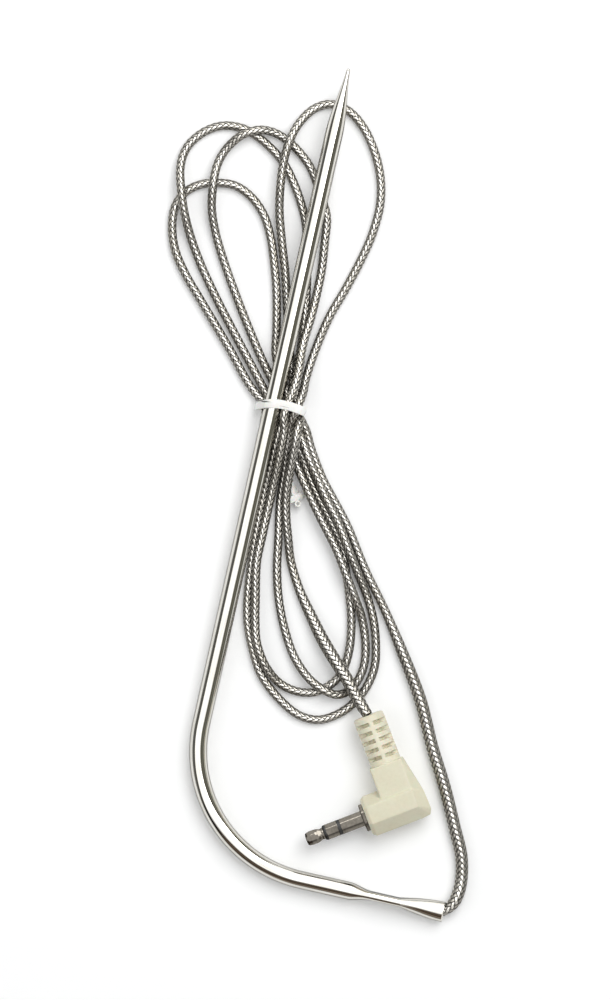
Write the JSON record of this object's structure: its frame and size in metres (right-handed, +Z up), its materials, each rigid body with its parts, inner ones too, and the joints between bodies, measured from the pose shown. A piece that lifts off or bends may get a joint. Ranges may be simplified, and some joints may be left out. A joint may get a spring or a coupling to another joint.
{
  "type": "wired meat thermometer probe",
  "caption": "Bent steel food probe with a thermistor in its point, a crimped mouth, a steel-braided lead bundled in a twist tie, and a right-angle jack plug.",
  "frame": {"origin": "middle of the probe tube's box, on the surface that the bundled probe lies on", "axes": "+Y along the probe's long leg towards its point, +X along its short leg towards the mouth, +Z up from the surface"},
  "size_m": [0.0992, 0.1822, 0.0094],
  "materials": {
    "probe_steel": "polished",
    "braid": "woven",
    "cream_plastic": "satin",
    "boot_plastic": "matt",
    "mould": "matt",
    "contact_plating": "polished",
    "black_insulator": "satin",
    "lug_brass": "satin",
    "solder": "satin",
    "copper": "satin",
    "red_insulation": "matt",
    "white_insulation": "matt",
    "bead_glass": "polished",
    "lead_wire": "satin",
    "polyimide": "satin",
    "compound": "matt",
    "tie_plastic": "satin",
    "tie_steel": "satin"
  },
  "bodies": {
    "root": {"probe_tube": "probe_steel", "tip_compound": "compound", "thermistor_bead": "bead_glass", "thermistor_leads": "lead_wire", "bead_sleeve": "polyimide", "splice_ferrules": "solder", "splice_sleeves": "white_insulation", "signal_conductor": "copper", "return_conductor": "copper", "signal_insulation": "red_insulation", "return_insulation": "white_insulation", "braid_tail": "braid", "lead_from_probe": "braid", "lead_hank": "braid", "lead_to_plug": "braid", "strain_relief": "boot_plastic", "plug_body": "cream_plastic", "plug_core": "mould", "sleeve_contact": "contact_plating", "sleeve_insulator": "black_insulator", "ring_contact": "contact_plating", "ring_insulator": "black_insulator", "tip_contact": "contact_plating", "sleeve_lug": "lug_brass", "ring_lug": "lug_brass", "tip_lug": "lug_brass", "solder_joints": "solder", "plug_braid_end": "braid", "plug_signal_wire": "copper", "plug_return_wire": "copper", "plug_wire_insulation": "red_insulation", "braid_pigtail": "braid", "tie_jacket": "tie_plastic", "tie_wire": "tie_steel"}
  },
  "joints": []
}
